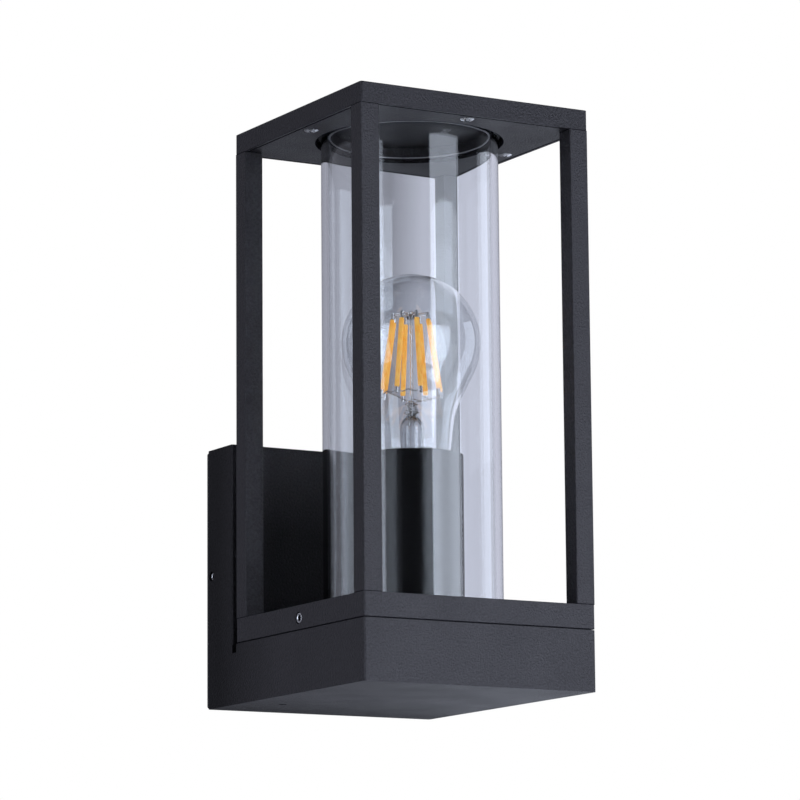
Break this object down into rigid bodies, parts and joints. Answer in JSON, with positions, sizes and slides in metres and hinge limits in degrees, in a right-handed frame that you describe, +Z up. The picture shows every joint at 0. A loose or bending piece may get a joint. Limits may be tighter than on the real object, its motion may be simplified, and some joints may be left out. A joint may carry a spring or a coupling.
{
  "type": "outdoor wall lantern",
  "caption": "Square black outdoor wall lantern with a lift-off post cage, a clear glass tube and a screw-in filament bulb.",
  "frame": {"origin": "centre of the wall bracket's back face, in the plane of the wall and halfway up the wall box", "axes": "+X to the right seen from in front of the lantern, +Y into the wall, +Z up"},
  "size_m": [0.12, 0.15, 0.269],
  "materials": {
    "powder_coat": "black fine-textured powder coat over die-cast aluminium",
    "cover_black": "satin black paint",
    "zinc_steel": "zinc plated",
    "stainless": "bare stainless steel",
    "brass": "bare",
    "nickel": "nickel plated, bright",
    "clear_glass": "clear, polished",
    "black_glass": "black glass insulator",
    "black_plastic": "moulded, satin",
    "white_plastic": "moulded",
    "steatite": "unglazed",
    "silicone": "clear silicone, satin",
    "black_rubber": "matte foam rubber",
    "phosphor": "orange-yellow phosphor resin",
    "brown_sleeve": "insulation, satin",
    "blue_sleeve": "insulation, satin",
    "green_sleeve": "green and yellow insulation, satin"
  },
  "bodies": {
    "housing": {"body_casting": "powder_coat", "wall_gasket": "black_rubber", "wall_bracket": "zinc_steel", "body_screw_left": "stainless", "body_screw_right": "stainless", "terminal_block": "white_plastic", "earth_screw": "brass", "lampholder_cover": "cover_black", "lampholder_nipple": "brass", "nipple_nut_lower": "zinc_steel", "nipple_nut_upper": "zinc_steel", "lampholder_base": "black_plastic", "lampholder_body": "black_plastic", "lampholder_core": "steatite", "socket_shell": "brass", "centre_contact": "brass", "live_wire": "brown_sleeve", "neutral_wire": "blue_sleeve", "earth_wire": "green_sleeve", "frame_seal": "black_rubber"},
    "cage": {"cage_base": "powder_coat", "post_front_left": "powder_coat", "post_front_right": "powder_coat", "post_rear_left": "powder_coat", "post_rear_right": "powder_coat", "post_screw_bottom_front_left": "stainless", "post_screw_bottom_front_right": "stainless", "post_screw_bottom_rear_left": "stainless", "post_screw_bottom_rear_right": "stainless", "post_screw_top_front_left": "stainless", "post_screw_top_front_right": "stainless", "post_screw_top_rear_left": "stainless", "post_screw_top_rear_right": "stainless", "top_plate": "powder_coat", "roof": "powder_coat", "roof_screw_front": "stainless", "roof_screw_rear": "stainless", "roof_screw_left": "stainless", "roof_screw_right": "stainless", "glass_tube": "clear_glass", "glass_seat_gasket": "silicone", "glass_top_gasket": "silicone"},
    "cage_screw_left": {"cage_screw_left": "stainless"},
    "cage_screw_right": {"cage_screw_right": "stainless"},
    "bulb_foot": {"bulb_contact": "brass"},
    "bulb": {"bulb_glass": "clear_glass", "bulb_cap": "nickel", "bulb_insulator": "black_glass", "bulb_stem": "clear_glass", "filament_1": "phosphor", "filament_2": "phosphor", "filament_3": "phosphor", "filament_4": "phosphor", "filament_5": "phosphor", "filament_6": "phosphor", "filament_7": "phosphor", "filament_8": "phosphor", "top_bridge": "nickel", "lead_in_left": "nickel", "lead_in_right": "nickel"}
  },
  "joints": [
    {"name": "cage_lift", "type": "slide", "parent": "housing", "child": "cage", "axis": [0, 0, 1], "range_m": [0, 0.2]},
    {"name": "cage_screw_left_out", "type": "slide", "parent": "cage", "child": "cage_screw_left", "axis": [-1, 0, 0], "range_m": [0, 0.003]},
    {"name": "cage_screw_right_out", "type": "slide", "parent": "cage", "child": "cage_screw_right", "axis": [1, 0, 0], "range_m": [0, 0.003]},
    {"name": "bulb_rise", "type": "slide", "parent": "housing", "child": "bulb_foot", "axis": [0, 0, 1], "range_m": [0, 0.01907]},
    {"name": "bulb_turn", "type": "hinge", "parent": "bulb_foot", "child": "bulb", "pos_m": [0, -0.09, 0.0173], "axis": [0, 0, 1], "range_deg": [0, 1890]}
  ],
  "couplings": [
    {"joint": "bulb_rise", "follows": "bulb_turn", "m_per_rad": 0.0005775}
  ]
}
